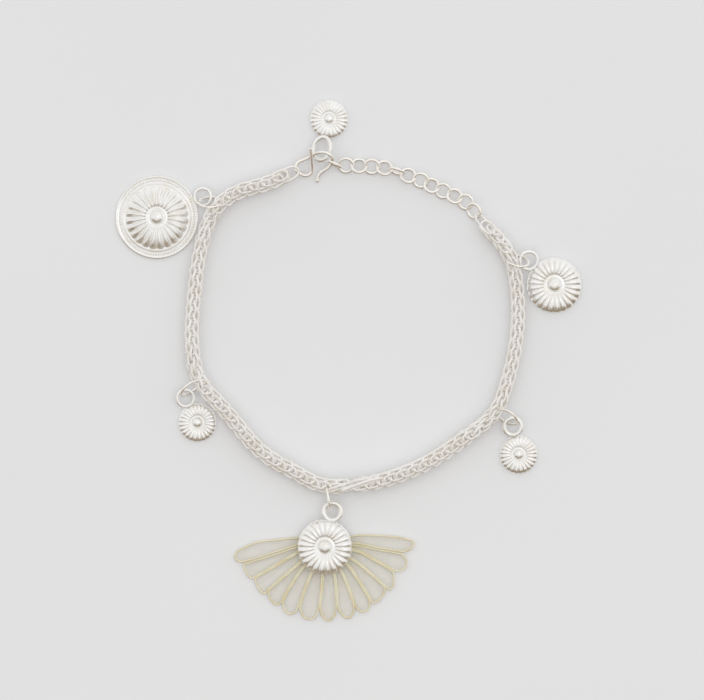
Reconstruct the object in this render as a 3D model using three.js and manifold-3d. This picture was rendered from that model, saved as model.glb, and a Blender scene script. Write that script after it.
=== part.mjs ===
// Charm bracelet of silver and woven horsehair, laid out flat on a table.
// Millimetres, +Z up, the table at z = 0 and the origin under the middle of the piece.
// A loop-in-loop chain and an extender of round links make one closed round with an S-hook.
// Five daisy charms and a large medallion hang on it from jump rings, and the bottom daisy
// carries a fan of thirteen woven horsehair loops.
import * as THREE from 'three';
import * as BufferGeometryUtils from 'three/addons/utils/BufferGeometryUtils.js';
import Module from 'manifold-3d';

const wasm = await Module();
wasm.setup();

// Driving dimensions, in millimetres.
const GAP = 0.2;                 // air left between pieces that pass through each other
const CHAIN_RADIUS = 1.2;        // the loop-in-loop chain's round outer form
const CHAIN_SIDES = 8;
const CHAIN_STEPS = 78;
const EXTENDER_WIDTH = 2.8;      // the row of nearly flat round links
const EXTENDER_HEIGHT = 1.5;
const EXTENDER_SIDES = 8;
const EXTENDER_STEPS = 18;
const JUMP_RING_RADIUS = 2.12;   // to the middle of the wire
const JUMP_RING_WIRE = 0.42;
const LINK_RADIUS = 1.28;        // a round link of the extender, to the middle of the wire
const LINK_WIRE = 0.45;
const RING_STEPS = 20;
const WIRE_SIDES = 6;
const HOOK_WIRE = 0.5;
const HOOK_SIDES = 8;
const HOOK_STEPS = 72;
const HOOK_BALL_RADIUS = 0.36;
const BALL_SEGMENTS = 10;
const PETALS = 24;
const FLUTE_DEPTH = 0.3;         // share of the height lost in the valley between two petals
const SCALLOP_DEPTH = 0.04;      // share of the radius lost there
const FAN_THICKNESS = 0.9;
const FAN_PETAL_WIDTH = 3.5;
const FAN_NECK_WIDTH = 0.8;      // a woven loop where it leaves the middle
const FAN_HUB_RADIUS = 3.6;
const FAN_HUB_SEGMENTS = 32;
const FAN_TIP_SEGMENTS = 8;
const WELD_TOLERANCE = 1e-4;
const DEGREE = Math.PI / 180;

// The chain's middle line on the table, from the hook end round to the extender end.
const CHAIN_ROUTE = [
  [-9.3, 36.3], [-10.9, 35.8], [-13.9, 34.1], [-18.2, 32.8], [-21.6, 31.8], [-23.6, 30.4],
  [-25.3, 28.7], [-26.9, 25.4], [-28.3, 20.2], [-29.1, 13.9], [-29.7, 7.0], [-29.6, 1.9],
  [-28.8, -2.9], [-26.3, -6.4], [-22.7, -10.2], [-18.1, -15.9], [-14.3, -19.0], [-10.6, -20.9],
  [-7.4, -22.8], [-4.4, -24.0], [-1.1, -23.8], [3.6, -23.4], [8.3, -22.2], [13.3, -20.2],
  [17.8, -17.7], [21.8, -14.8], [25.8, -11.9], [28.2, -9.5], [29.3, -6.5], [30.4, -3.3],
  [31.2, 0.4], [31.9, 4.0], [32.2, 8.9], [32.1, 12.2], [31.4, 17.5], [30.2, 20.6],
  [27.7, 23.8], [25.3, 26.0], [24.1, 27.7],
];

// The extender's middle line, from its link on the hook to its link on the chain.
const EXTENDER_ROUTE = [
  [-2.3, 37.2], [-0.5, 37.05], [2.0, 36.95], [4.5, 36.8], [6.9, 36.5], [8.9, 36.0], [11.4, 35.1],
  [13.7, 34.2], [15.8, 33.2], [17.9, 32.2], [20.1, 31.2], [22.0, 30.2], [23.3, 28.8],
];

// The hook's wire, from its free end through the chain's eye and the arch to the balled tip.
const HOOK_ROUTE = [
  { x: -7.2, y: 40.1, z: 3.6 },
  { x: -7.1, y: 39.2, z: 3.1 },
  { x: -7, y: 38, z: 2.35 },
  { x: -6.87, y: 36.6, z: 1.35 },
  { x: -6.95, y: 35.9, z: 0.95 },
  { x: -7.4, y: 35.3, z: 0.8 },
  { x: -8.35, y: 35.1, z: 0.8 },
  { x: -9.25, y: 35.5, z: 0.9 },
  { x: -10.1, y: 36.4, z: 1 },
  { x: -9.57, y: 37.6, z: 1.1 },
  { x: -8.5, y: 38.1, z: 1.1 },
  { x: -7.5, y: 38.5, z: 1.2 },
  { x: -6.7, y: 39, z: 2.05 },
  { x: -5.6, y: 39.4, z: 2.85 },
  { x: -4.4, y: 39.4, z: 3.2 },
  { x: -3.6, y: 39, z: 3.15 },
  { x: -3.1, y: 38.5, z: 2.7 },
  { x: -3.1, y: 37.8, z: 1.75 },
  { x: -3.5, y: 37, z: 1.2 },
  { x: -4.2, y: 36.35, z: 1 },
  { x: -5.1, y: 35.8, z: 0.8 },
  { x: -5.7, y: 35.1, z: 0.55 },
  { x: -5.94, y: 34.2, z: 0.36 },
];

// Each ring lies about a level axis at azimuth, tilted up from the table. The side that rises
// is on the left of the axis direction.
const JUMP_RINGS = [
  { name: 'medallion_jump_ring', x: -26.25, y: 30.0, azimuth: 180, tilt: 61 },
  { name: 'right_jump_ring', x: 31.9, y: 19.1, azimuth: 180, tilt: 60 },
  { name: 'lower_right_jump_ring', x: 30.1, y: -10.7, azimuth: -33, tilt: 62 },
  { name: 'lower_left_jump_ring', x: -29.95, y: -5.2, azimuth: 38, tilt: 70 },
  { name: 'bottom_jump_ring', x: -3.85, y: -26.1, azimuth: -80, tilt: 88 },
];
const EXTENDER_RINGS = [
  { name: 'extender_hook_ring', x: -2.72, y: 37.3, azimuth: -27, tilt: 88 },
  { name: 'extender_chain_ring', x: 23.75, y: 28.3, azimuth: -58, tilt: 70 },
];

// Daisies: radius and height of the flower, and the loop that is soldered to its rim, whose
// middle is loopDistance from the flower's in the direction of loopAngle.
// roll turns the loop about the line from the flower to the loop, pitch lifts its far side and
// narrow is its width as a share of its length.
const DAISIES = [
  { name: 'top_daisy', x: -3.7, y: 45.9, base: 0, radius: 3.55, height: 2.0, loopAngle: -103.5,
    loopDistance: 5.85, loopOuter: 2.62, loopWire: 0.8, loopHeight: 1.5, roll: 22, pitch: 0,
    narrow: 0.78 },
  { name: 'right_daisy', x: 39.07, y: 14.35, base: 0, radius: 5.1, height: 2.5, loopAngle: 136.6,
    loopDistance: 6.7, loopOuter: 2.0, loopWire: 0.6, loopHeight: 1.4, roll: 0, pitch: 14, narrow: 1 },
  { name: 'lower_right_daisy', x: 32.3, y: -17.8, base: 0, radius: 3.6, height: 2.0,
    loopAngle: 101.9, loopDistance: 5.4, loopOuter: 2.02, loopWire: 0.8, loopHeight: 1.1, roll: 0,
    pitch: 8, narrow: 1 },
  { name: 'lower_left_daisy', x: -28.7, y: -11.75, base: 0, radius: 3.6, height: 2.0,
    loopAngle: 115.6, loopDistance: 5.1, loopOuter: 1.88, loopWire: 0.58, loopHeight: 1.1, roll: 0,
    pitch: 8, narrow: 1 },
  { name: 'bottom_daisy', x: -4.5, y: -35.4, base: FAN_THICKNESS + GAP, radius: 5.14, height: 2.4,
    loopAngle: 78, loopDistance: 6.9, loopOuter: 2.04, loopWire: 0.82, loopHeight: 0.5, roll: 0,
    pitch: 0, narrow: 1 },
];
const MEDALLION = {
  name: 'medallion', x: -36.4, y: 27.2, base: 0, radius: 7.85, height: 2.3, loopAngle: 23.8,
  loopDistance: 9.55, loopOuter: 1.9, loopWire: 0.58, loopHeight: 0.9, roll: 0, pitch: 12, narrow: 1,
};

// Profiles from the back's middle round the rim to the boss, as shares of radius and height.
const DAISY_PROFILE = [
  [0, 0], [0.93, 0], [1, 0.3], [0.94, 0.72], [0.74, 1], [0.5, 0.92], [0.37, 0.55],
  [0.31, 0.68], [0.24, 0.6], [0.17, 0.92], [0, 1.02],
];
const MEDALLION_PROFILE = [
  [0, 0], [1, 0], [1, 0.3], [0.94, 0.22], [0.87, 0.32], [0.82, 0.2], [0.78, 0.22],
  [0.7, 0.72], [0.5, 0.88], [0.27, 0.62], [0.22, 0.62], [0.15, 0.9], [0, 1.02],
];
const DAISY_PETAL_SPAN = [0.4, 1];
const MEDALLION_PETAL_SPAN = [0.3, 0.74];

// The fan's thirteen woven loops: direction and reach of each tip from the daisy's middle.
const FAN_LOOPS = [
  { angle: -172.5, reach: 17.3 }, { angle: -157.5, reach: 15.7 }, { angle: -144, reach: 14.9 },
  { angle: -130.3, reach: 14.6 }, { angle: -117, reach: 14.5 }, { angle: -102.3, reach: 14.3 },
  { angle: -87, reach: 14.3 }, { angle: -72.7, reach: 14.4 }, { angle: -58.8, reach: 14.8 },
  { angle: -45, reach: 14.9 }, { angle: -31, reach: 15.2 }, { angle: -17.7, reach: 15.5 },
  { angle: -4, reach: 16.8 },
];

// Finishes.
const silver = { color: 0xe9e6e1, roughness: 0.35, metalness: 0.95 };
const brightSilver = { color: 0xf0eeea, roughness: 0.28, metalness: 0.95 };
const horsehair = { color: 0xe4dcb8, roughness: 0.7, metalness: 0 };

const bracelet = new THREE.Group();

function addPiece(name, geometry, finish) {
  const piece = new THREE.Mesh(geometry, new THREE.MeshStandardMaterial(finish));
  piece.name = name;
  bracelet.add(piece);
  return piece;
}

// Joining and cutting.
function toSolid(geometry) {
  const bare = geometry.clone();
  bare.deleteAttribute('normal');
  bare.deleteAttribute('uv');
  const welded = BufferGeometryUtils.mergeVertices(bare, WELD_TOLERANCE);
  return new wasm.Manifold(new wasm.Mesh({
    numProp: 3,
    vertProperties: welded.attributes.position.array,
    triVerts: Uint32Array.from(welded.index.array),
  }));
}

function toGeometry(solid) {
  const mesh = solid.getMesh();
  const geometry = new THREE.BufferGeometry();
  geometry.setAttribute('position', new THREE.BufferAttribute(mesh.vertProperties, mesh.numProp));
  geometry.setIndex(new THREE.BufferAttribute(mesh.triVerts, 1));
  geometry.computeVertexNormals();
  return geometry;
}

// A flat section of the given half width and half height, swept along a curve.
function sweep(curve, halfWidth, halfHeight, sides, steps) {
  const section = new THREE.Shape();
  for (let i = 0; i < sides; i += 1) {
    const turn = ((i + 0.5) * 2 * Math.PI) / sides;
    const corner = [halfHeight * Math.cos(turn), halfWidth * Math.sin(turn)];
    if (i === 0) section.moveTo(...corner);
    else section.lineTo(...corner);
  }
  section.closePath();
  return new THREE.ExtrudeGeometry(section, { steps, extrudePath: curve, bevelEnabled: false });
}

function routeCurve(route, height) {
  const points = route.map(([x, y]) => new THREE.Vector3(x, y, height));
  return new THREE.CatmullRomCurve3(points, false, 'centripetal');
}

// A round wire ring in the table's plane about the origin.
function wireRing(radius, wire) {
  const half = wire / 2;
  const section = [];
  for (let i = 0; i <= WIRE_SIDES; i += 1) {
    const turn = (i * 2 * Math.PI) / WIRE_SIDES;
    section.push(new THREE.Vector2(radius + half * Math.cos(turn), half * Math.sin(turn)));
  }
  return new THREE.LatheGeometry(section, RING_STEPS).rotateX(Math.PI / 2);
}

// The place of a ring that stands on the table on its lowest point.
function ringPlace(ring, radius, wire) {
  const tilt = ring.tilt * DEGREE;
  const height = radius * Math.sin(tilt) + wire / 2;
  return new THREE.Matrix4()
    .makeTranslation(ring.x, ring.y, height)
    .multiply(new THREE.Matrix4().makeRotationZ(ring.azimuth * DEGREE))
    .multiply(new THREE.Matrix4().makeRotationX(tilt));
}

function placedRing(ring, radius, wire, extra) {
  return wireRing(radius, wire + 2 * extra).applyMatrix4(ringPlace(ring, radius, wire));
}

// A flower turned on its axis, then fluted into petals between two shares of its radius.
function flower({ radius, height }, profile, petalSpan) {
  const outline = profile.map(([r, z]) => new THREE.Vector2(r * radius, z * height));
  const turned = new THREE.LatheGeometry(outline, 2 * PETALS).rotateX(Math.PI / 2);
  const position = turned.attributes.position;
  const [inner, outer] = petalSpan.map((share) => share * radius);
  for (let i = 0; i < position.count; i += 1) {
    const x = position.getX(i);
    const y = position.getY(i);
    const reach = Math.hypot(x, y);
    if (reach < inner || reach > outer + WELD_TOLERANCE) continue;
    const valley = (1 - Math.cos(PETALS * Math.atan2(y, x))) / 2;
    const squeeze = 1 - SCALLOP_DEPTH * valley;
    const sink = 1 - FLUTE_DEPTH * valley;
    position.setXYZ(i, x * squeeze, y * squeeze, position.getZ(i) * sink);
  }
  return turned;
}

// The soldered loop of a charm, beyond the rim in the direction of loopAngle.
function charmLoop(charm) {
  const loopRadius = charm.loopOuter - charm.loopWire / 2;
  return wireRing(loopRadius, charm.loopWire)
    .scale(1, charm.narrow, 1)
    .rotateX(charm.roll * DEGREE)
    .rotateY(-charm.pitch * DEGREE)
    .translate(charm.loopDistance, 0, charm.loopHeight)
    .rotateZ(charm.loopAngle * DEGREE);
}

function addCharm(charm, profile, petalSpan) {
  const solid = toSolid(flower(charm, profile, petalSpan)).add(toSolid(charmLoop(charm)));
  const piece = addPiece(charm.name, toGeometry(solid), silver);
  piece.position.set(charm.x, charm.y, charm.base);
}

// The chain and the extender, each with eyes where a ring or the hook passes through a link.
const hookPoints = HOOK_ROUTE.map(({ x, y, z }) => new THREE.Vector3(x, y, z));
const hookCurve = new THREE.CatmullRomCurve3(hookPoints, false, 'centripetal');
const hookHalf = HOOK_WIRE / 2;
const hookEye = hookHalf + GAP;
const hookClearance = toSolid(sweep(hookCurve, hookEye, hookEye, HOOK_SIDES, HOOK_STEPS));

const chainCurve = routeCurve(CHAIN_ROUTE, CHAIN_RADIUS);
let chain = toSolid(sweep(chainCurve, CHAIN_RADIUS, CHAIN_RADIUS, CHAIN_SIDES, CHAIN_STEPS));
chain = chain.subtract(hookClearance);
for (const ring of JUMP_RINGS) {
  chain = chain.subtract(toSolid(placedRing(ring, JUMP_RING_RADIUS, JUMP_RING_WIRE, GAP)));
}

const extenderCurve = routeCurve(EXTENDER_ROUTE, EXTENDER_HEIGHT / 2);
let extender = toSolid(sweep(
  extenderCurve, EXTENDER_WIDTH / 2, EXTENDER_HEIGHT / 2, EXTENDER_SIDES, EXTENDER_STEPS,
));
for (const ring of EXTENDER_RINGS) {
  const eye = toSolid(placedRing(ring, LINK_RADIUS, LINK_WIRE, GAP));
  chain = chain.subtract(eye);
  extender = extender.subtract(eye);
}
addPiece('main_chain', toGeometry(chain), silver);
addPiece('extender_chain', toGeometry(extender), silver);

for (const ring of JUMP_RINGS) {
  addPiece(ring.name, placedRing(ring, JUMP_RING_RADIUS, JUMP_RING_WIRE, 0), silver);
}
for (const ring of EXTENDER_RINGS) {
  addPiece(ring.name, placedRing(ring, LINK_RADIUS, LINK_WIRE, 0), brightSilver);
}

// The S-hook, one bent wire with a ball melted on its tip.
const tip = hookPoints[hookPoints.length - 1];
const ball = new THREE.SphereGeometry(HOOK_BALL_RADIUS, BALL_SEGMENTS, BALL_SEGMENTS / 2)
  .translate(tip.x, tip.y, tip.z);
const hook = toSolid(sweep(hookCurve, hookHalf, hookHalf, HOOK_SIDES, HOOK_STEPS)).add(toSolid(ball));
addPiece('s_hook', toGeometry(hook), brightSilver);

for (const daisy of DAISIES) addCharm(daisy, DAISY_PROFILE, DAISY_PETAL_SPAN);
addCharm(MEDALLION, MEDALLION_PROFILE, MEDALLION_PETAL_SPAN);

// The fan: a hub under the daisy with a long drop-shaped woven loop for each tip.
function fanLoop({ angle, reach }) {
  const half = FAN_PETAL_WIDTH / 2;
  const neck = FAN_NECK_WIDTH / 2;
  const roundStart = reach - half;
  const outline = new THREE.Shape();
  outline.moveTo(0, -neck);
  outline.lineTo(roundStart, -half);
  outline.absarc(roundStart, 0, half, -Math.PI / 2, Math.PI / 2, false);
  outline.lineTo(0, neck);
  outline.closePath();
  const settings = { depth: FAN_THICKNESS, bevelEnabled: false, curveSegments: FAN_TIP_SEGMENTS };
  return new THREE.ExtrudeGeometry(outline, settings).rotateZ(angle * DEGREE);
}

const bottomDaisy = DAISIES.find((daisy) => daisy.name === 'bottom_daisy');
const hub = new THREE.CylinderGeometry(FAN_HUB_RADIUS, FAN_HUB_RADIUS, FAN_THICKNESS, FAN_HUB_SEGMENTS)
  .rotateX(Math.PI / 2)
  .translate(0, 0, FAN_THICKNESS / 2);
let fan = toSolid(hub);
for (const loop of FAN_LOOPS) fan = fan.add(toSolid(fanLoop(loop)));
addPiece('horsehair_fan', toGeometry(fan), horsehair).position.set(bottomDaisy.x, bottomDaisy.y, 0);

export default bracelet;
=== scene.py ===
import math

import bmesh
import bpy
from bpy.props import FloatProperty, FloatVectorProperty, IntProperty, PointerProperty
from bpy.types import Operator, Panel, PropertyGroup
from mathutils import Matrix, Vector


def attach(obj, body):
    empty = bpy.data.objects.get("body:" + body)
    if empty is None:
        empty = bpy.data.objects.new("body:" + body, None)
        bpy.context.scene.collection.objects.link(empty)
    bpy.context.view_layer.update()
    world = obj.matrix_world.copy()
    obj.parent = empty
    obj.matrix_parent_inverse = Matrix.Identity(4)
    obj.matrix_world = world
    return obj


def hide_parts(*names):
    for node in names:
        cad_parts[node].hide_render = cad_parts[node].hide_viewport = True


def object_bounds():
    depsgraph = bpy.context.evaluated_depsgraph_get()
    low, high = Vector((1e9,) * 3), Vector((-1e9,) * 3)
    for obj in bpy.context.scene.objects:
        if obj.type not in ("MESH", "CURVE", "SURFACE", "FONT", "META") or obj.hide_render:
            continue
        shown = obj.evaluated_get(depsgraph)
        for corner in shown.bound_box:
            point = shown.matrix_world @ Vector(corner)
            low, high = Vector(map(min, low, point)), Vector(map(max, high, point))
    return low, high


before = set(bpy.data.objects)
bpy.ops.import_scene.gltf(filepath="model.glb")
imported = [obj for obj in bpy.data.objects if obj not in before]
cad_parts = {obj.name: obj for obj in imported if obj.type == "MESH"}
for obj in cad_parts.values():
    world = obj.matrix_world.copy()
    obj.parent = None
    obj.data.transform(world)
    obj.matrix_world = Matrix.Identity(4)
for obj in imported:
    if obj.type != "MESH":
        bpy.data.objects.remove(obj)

bl_info = {
    "name": "Horsehair Charm Bracelet",
    "version": (1, 0, 0),
    "blender": (4, 5, 0),
    "location": "View3D > Sidebar > Bracelet",
    "description": "Silver charm bracelet with woven horsehair, laid out flat",
    "category": "Object",
}

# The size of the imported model, before any piece is added.
CAD_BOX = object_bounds()
MM = 0.001
BODY = "root"
UP = Vector((0, 0, 1))

# ---------------------------------------------------------------------------
# Places, in millimetres: the table is z = 0 and +Y points from the fan to the hook.
# ---------------------------------------------------------------------------

# The chain's middle line, from the hook end round to the extender end.
CHAIN_ROUTE = [
    (-9.3, 36.3), (-10.9, 35.8), (-13.9, 34.1), (-18.2, 32.8), (-21.6, 31.8), (-23.6, 30.4),
    (-25.3, 28.7), (-26.9, 25.4), (-28.3, 20.2), (-29.1, 13.9), (-29.7, 7.0), (-29.6, 1.9),
    (-28.8, -2.9), (-26.3, -6.4), (-22.7, -10.2), (-18.1, -15.9), (-14.3, -19.0), (-10.6, -20.9),
    (-7.4, -22.8), (-4.4, -24.0), (-1.1, -23.8), (3.6, -23.4), (8.3, -22.2), (13.3, -20.2),
    (17.8, -17.7), (21.8, -14.8), (25.8, -11.9), (28.2, -9.5), (29.3, -6.5), (30.4, -3.3),
    (31.2, 0.4), (31.9, 4.0), (32.2, 8.9), (32.1, 12.2), (31.4, 17.5), (30.2, 20.6),
    (27.7, 23.8), (25.3, 26.0), (24.1, 27.7),
]
CHAIN_HEIGHT = 1.54         # the chain's middle line over the table

# A quarter of a chain link, from the middle of its fold to the tip of its eye: where the chain
# lies on its flat side, and where it lies on edge.
FLAT_LINK = [
    (0.0, 0.0, 0.45), (0.2, 0.5, 0.45), (0.45, 0.9, 0.5), (1.0, 1.04, 0.6), (2.2, 1.04, 0.8),
    (2.5, 0.95, 1.0), (2.8, 0.5, 1.15), (3.0, 0.0, 1.0), (3.08, -0.2, 0.6), (3.1, -0.2, 0.0),
]
EDGE_LINK = [
    (0.0, 0.0, 0.3), (0.1, 0.55, 0.34), (0.38, 0.94, 0.5), (1.1, 0.97, 0.86), (2.1, 0.84, 1.04),
    (3.0, 0.62, 0.7), (3.2, 0.55, 0.0),
]
# How the chain lies, by distance from the hook end: degrees that it is turned about its length,
# and degrees that its links lean turn about.
CHAIN_LIE = [
    (0, 0, 23), (16, 0, 23), (21, 60, 20), (27, 90, 20), (44, 90, 20), (50, 60, 20), (54, 0, 23),
    (83, 0, 23), (90, 20, 20), (96, 5, 23), (112, 10, 23), (121, 90, 20), (146, 90, 20),
    (152, 40, 20), (161, 30, 20),
]
# The two stretches of links, whose eyes all point to the join near the bottom charm.
CHAIN_STRETCHES = [
    {"start": 2.3, "end": 88.6, "forward": True},
    {"start": 87.6, "end": 158.5, "forward": False},
]
# Long loops that close the chain at its ends and at the join: stretch, turn, half width, the
# sides that they start and end on, and height over the chain's middle.
LONG_LOOPS = [
    {"start": 0.2, "end": 4.5, "turn": 10, "half_width": 1.2, "sides": (0, 0), "lift": 0},
    {"start": 83.3, "end": 92.2, "turn": 15, "half_width": 0.35, "sides": (-0.9, 1.0), "lift": 1.5},
    {"start": 86.5, "end": 93.8, "turn": 60, "half_width": 0.5, "sides": (-0.9, 0.6), "lift": 1.3},
    {"start": 155.5, "end": 160.3, "turn": 30, "half_width": 0.9, "sides": (0, 0), "lift": 0},
]

# The hook's wire, from its free end through the chain's eye and the arch to the balled tip.
HOOK_ROUTE = [
    (-7.2, 40.1, 3.6), (-7.1, 39.2, 3.1), (-7, 38, 2.35), (-6.87, 36.6, 1.35), (-6.95, 35.9, 0.95),
    (-7.4, 35.3, 0.8), (-8.35, 35.1, 0.8), (-9.25, 35.5, 0.9), (-10.1, 36.4, 1),
    (-9.57, 37.6, 1.1), (-8.5, 38.1, 1.1), (-7.5, 38.5, 1.2), (-6.7, 39, 2.05), (-5.6, 39.4, 2.85),
    (-4.4, 39.4, 3.2), (-3.6, 39, 3.15), (-3.1, 38.5, 2.7), (-3.1, 37.8, 1.75), (-3.5, 37, 1.2),
    (-4.2, 36.35, 1), (-5.1, 35.8, 0.8), (-5.7, 35.1, 0.55), (-5.94, 34.2, 0.36),
]

# Rings lie about a level axis at azimuth, tilted up from the table on its left side.
JUMP_RINGS = [
    {"node": "medallion_jump_ring", "x": -26.25, "y": 30.0, "azimuth": 180, "tilt": 61},
    {"node": "right_jump_ring", "x": 32.1, "y": 18.9, "azimuth": 168, "tilt": 60},
    {"node": "lower_right_jump_ring", "x": 30.1, "y": -10.7, "azimuth": -33, "tilt": 62},
    {"node": "lower_left_jump_ring", "x": -29.95, "y": -5.2, "azimuth": 38, "tilt": 70},
    {"node": "bottom_jump_ring", "x": -3.85, "y": -26.1, "azimuth": -80, "tilt": 88},
]
END_RINGS = [
    {"node": "extender_hook_ring", "x": -2.72, "y": 37.3, "azimuth": -27, "tilt": 88},
    {"node": "extender_chain_ring", "x": 23.8, "y": 28.35, "azimuth": -58, "tilt": 35},
]
# The extender's other links, from the hook to the chain. tilt turns each about the row.
EXTENDER_LINKS = [
    {"x": -0.5, "y": 37.05, "tilt": 24}, {"x": 2.0, "y": 36.95, "tilt": -24},
    {"x": 4.45, "y": 36.8, "tilt": 24}, {"x": 6.85, "y": 36.55, "tilt": -24},
    {"x": 9.15, "y": 35.9, "tilt": 74}, {"x": 11.35, "y": 35.1, "tilt": -22},
    {"x": 13.7, "y": 34.2, "tilt": 24}, {"x": 15.8, "y": 33.2, "tilt": -24},
    {"x": 17.95, "y": 32.2, "tilt": 24}, {"x": 20.15, "y": 31.2, "tilt": -24},
    {"x": 22.2, "y": 30.1, "tilt": 24},
]

# The middle of each charm, and the soldered loop on its rim: direction and distance from the
# charm's middle, outer radius, wire, height of its middle, roll, pitch and the share of its
# length that it is wide.
CHARM_LOOPS = {
    "top_daisy": {"x": -3.7, "y": 45.9, "base": 0, "angle": -103.5, "distance": 5.85, "outer": 2.62,
                  "wire": 0.8, "height": 1.5, "roll": 22, "pitch": 0, "narrow": 0.78},
    "right_daisy": {"x": 39.07, "y": 14.35, "base": 0, "angle": 136.6, "distance": 6.7,
                    "outer": 2.0, "wire": 0.6, "height": 1.4, "roll": 0, "pitch": 14, "narrow": 1},
    "lower_right_daisy": {"x": 32.3, "y": -17.8, "base": 0, "angle": 101.9, "distance": 5.4,
                          "outer": 2.02, "wire": 0.8, "height": 1.1, "roll": 0, "pitch": 8,
                          "narrow": 1},
    "lower_left_daisy": {"x": -28.7, "y": -11.75, "base": 0, "angle": 115.6, "distance": 5.1,
                         "outer": 1.88, "wire": 0.58, "height": 1.1, "roll": 0, "pitch": 8,
                         "narrow": 1},
    "bottom_daisy": {"x": -4.5, "y": -35.4, "base": 1.1, "angle": 78, "distance": 6.9,
                     "outer": 2.04, "wire": 0.82, "height": 0.5, "roll": 0, "pitch": 0, "narrow": 1},
    "medallion": {"x": -36.4, "y": 27.2, "base": 0, "angle": 23.8, "distance": 9.55, "outer": 1.9,
                  "wire": 0.58, "height": 0.9, "roll": 0, "pitch": 12, "narrow": 1},
}

# ---------------------------------------------------------------------------
# Flower outlines, in millimetres, from the middle of the boss out and round to the back.
# ---------------------------------------------------------------------------

# rows: radius and height. A petal row also lifts the petals over the base by up to rise, and
# narrowing says how quickly a petal falls away from its crest.
SMALL_FLOWER = {
    "petals": 24, "scallop": 0.04, "back_radius": 3.45,
    "petal_start": 1.28, "petal_end": 3.7, "start_round": 0.35, "end_round": 0.9,
    "rows": [
        (0.0, 1.57), (0.3, 1.52), (0.55, 1.4), (0.75, 1.25), (0.85, 1.14), (0.9, 0.96), (0.94, 0.83),
        (1.0, 0.88), (1.07, 0.9), (1.14, 0.88), (1.2, 0.83), (1.3, 0.85), (1.45, 0.91), (1.65, 0.97),
        (1.95, 1.01), (2.3, 0.99), (2.6, 0.94), (2.85, 0.88), (3.05, 0.82), (3.22, 0.76), (3.37, 0.69),
        (3.49, 0.59), (3.57, 0.38), (3.62, 0.12), (3.56, 0.0),
    ],
    "rise": 0.21, "narrowing": 0.9,
}
MEDIUM_FLOWER = {
    "petals": 24, "scallop": 0.04, "back_radius": 5.0,
    "petal_start": 1.9, "petal_end": 5.3, "start_round": 0.45, "end_round": 1.3,
    "rows": [
        (0.0, 2.09), (0.4, 2.02), (0.76, 1.85), (1.02, 1.66), (1.16, 1.52), (1.23, 1.33), (1.3, 1.15),
        (1.44, 1.21), (1.56, 1.24), (1.68, 1.21), (1.8, 1.15), (1.92, 1.17), (2.1, 1.25), (2.4, 1.35),
        (2.8, 1.4), (3.25, 1.39), (3.6, 1.34), (3.95, 1.26), (4.25, 1.17), (4.5, 1.08), (4.72, 0.98),
        (4.92, 0.86), (5.08, 0.7), (5.18, 0.42), (5.24, 0.12), (5.15, 0.0),
    ],
    "rise": 0.36, "narrowing": 0.8,
}
MEDALLION_FLOWER = {
    "petals": 24, "scallop": 0.02, "back_radius": 7.75,
    "petal_start": 2.02, "petal_end": 6.0, "start_round": 0.45, "end_round": 1.4,
    "rows": [
        (0.0, 2.04), (0.4, 1.97), (0.75, 1.81), (1.0, 1.62), (1.16, 1.47), (1.24, 1.29), (1.32, 1.1),
        (1.5, 1.1), (1.58, 1.15), (1.7, 1.2), (1.84, 1.19), (1.95, 1.12), (2.05, 1.13), (2.2, 1.23),
        (2.45, 1.31), (2.9, 1.31), (3.4, 1.26), (4.0, 1.17), (4.55, 1.02), (5.0, 0.87), (5.33, 0.74),
        (5.6, 0.62), (5.82, 0.52), (5.97, 0.45), (6.07, 0.41), (6.14, 0.38), (6.2, 0.39), (6.24, 0.43),
        (6.29, 0.48), (6.35, 0.5), (6.41, 0.48), (6.46, 0.43), (6.5, 0.37), (7.4, 0.37), (7.47, 0.41),
        (7.55, 0.47), (7.64, 0.5), (7.74, 0.48), (7.82, 0.4), (7.85, 0.28), (7.82, 0.1), (7.75, 0.0),
    ],
    "rise": 0.6, "narrowing": 2,
}
# The medallion's border of slanting grains.
ROPE_RADIUS = 7.05
ROPE_HEIGHT = 0.34
ROPE_GRAIN = (0.38, 0.2, 0.14)  # half length, half width and half height
ROPE_SLANT = 38.0           # degrees between a grain and the border's line

# ---------------------------------------------------------------------------
# The fan, in millimetres from the middle of the bottom daisy
# ---------------------------------------------------------------------------

FAN_MIDDLE = (-4.5, -35.2)
# The lines where a woven loop meets the next, from the hub outwards, from left to right.
FAN_SEAMS = [
    [(-2.6, 1.5), (-4.8, 1.6), (-9.9, 1.1), (-13.1, 0.75), (-15.6, -0.45)],
    [(-2.9, 0.6), (-5.25, 0.0), (-10.4, -1.75), (-15.4, -3.25)],
    [(-2.9, -0.3), (-5.9, -1.7), (-9.6, -3.9), (-13.3, -6.0)],
    [(-2.7, -1.3), (-5.25, -3.65), (-8.1, -6.1), (-10.9, -8.5)],
    [(-2.2, -2.0), (-4.3, -4.4), (-6.3, -7.3), (-8.0, -10.2)],
    [(-1.3, -2.6), (-2.6, -5.3), (-3.8, -8.3), (-4.9, -11.5)],
    [(-0.3, -2.9), (-0.4, -5.5), (-0.6, -8.5), (-1.0, -11.5)],
    [(0.8, -2.9), (1.8, -5.5), (2.2, -8.4), (2.3, -11.2)],
    [(1.5, -2.6), (3.2, -5.0), (4.5, -8.0), (5.6, -11.2)],
    [(2.2, -2.0), (4.4, -3.7), (6.6, -6.9), (8.6, -10.2)],
    [(2.6, -1.4), (5.6, -2.8), (8.7, -5.3), (11.6, -7.9)],
    [(2.8, -0.7), (5.9, -0.9), (9.5, -2.7), (12.9, -4.7)],
    [(2.9, 0.0), (5.6, 0.3), (10.0, -0.55), (14.6, -1.35)],
    [(2.9, 0.9), (5.1, 1.95), (9.1, 2.05), (13.3, 1.8), (15.5, 1.3)],
]
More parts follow.
